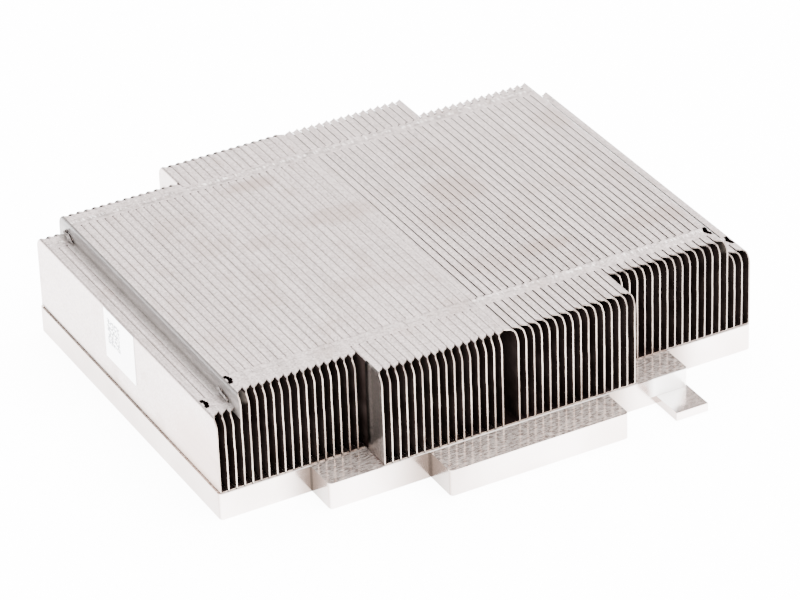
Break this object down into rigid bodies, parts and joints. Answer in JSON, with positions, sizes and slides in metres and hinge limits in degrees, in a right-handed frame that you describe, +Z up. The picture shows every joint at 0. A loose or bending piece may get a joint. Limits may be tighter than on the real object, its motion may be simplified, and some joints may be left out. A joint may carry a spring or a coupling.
{
  "type": "passive server cpu heatsink",
  "caption": "Low passive heatsink: a stepped machined aluminium plate under stacks of interlocked folded sheet fins.",
  "frame": {"origin": "middle of the underside, where the heatsink stands on the processor or on a table", "axes": "+Z up through the fins, +X along the row of fins, +Y along the fins from the front ledge to the back one"},
  "size_m": [0.113, 0.1074, 0.0249],
  "materials": {
    "base": "fly-cut, fine turning marks",
    "fins": "rolled sheet, dull",
    "label": "white film label, bare"
  },
  "bodies": {
    "root": {"base_plate": "base", "label": "label", "long_fins_19_20": "fins", "long_fins_21_22": "fins", "long_fins_23_24": "fins", "long_fins_25_26": "fins", "long_fins_27_28": "fins", "long_fins_29_30": "fins", "long_fins_31_32": "fins", "long_fins_33_34": "fins", "long_fins_35_36": "fins", "long_fins_37_38": "fins", "long_fins_39_40": "fins", "long_fins_41_42": "fins", "long_fins_43_44": "fins", "long_fins_45_46": "fins", "long_fins_47_48": "fins", "long_fins_49_50": "fins", "low_fin_01": "fins", "low_fin_02": "fins", "low_fin_03": "fins", "low_fin_66": "fins", "low_fin_67": "fins", "low_fin_68": "fins", "side_fin_04": "fins", "side_fin_05": "fins", "side_fin_06": "fins", "side_fin_07": "fins", "side_fin_08": "fins", "side_fin_09": "fins", "side_fin_10": "fins", "side_fin_11": "fins", "side_fin_12": "fins", "side_fin_13": "fins", "side_fin_14": "fins", "side_fin_15": "fins", "side_fin_16": "fins", "side_fin_17": "fins", "side_fin_18": "fins", "side_fin_51": "fins", "side_fin_52": "fins", "side_fin_53": "fins", "side_fin_54": "fins", "side_fin_55": "fins", "side_fin_56": "fins", "side_fin_57": "fins", "side_fin_58": "fins", "side_fin_59": "fins", "side_fin_60": "fins", "side_fin_61": "fins", "side_fin_62": "fins", "side_fin_63": "fins", "side_fin_64": "fins", "side_fin_65": "fins"}
  },
  "joints": []
}
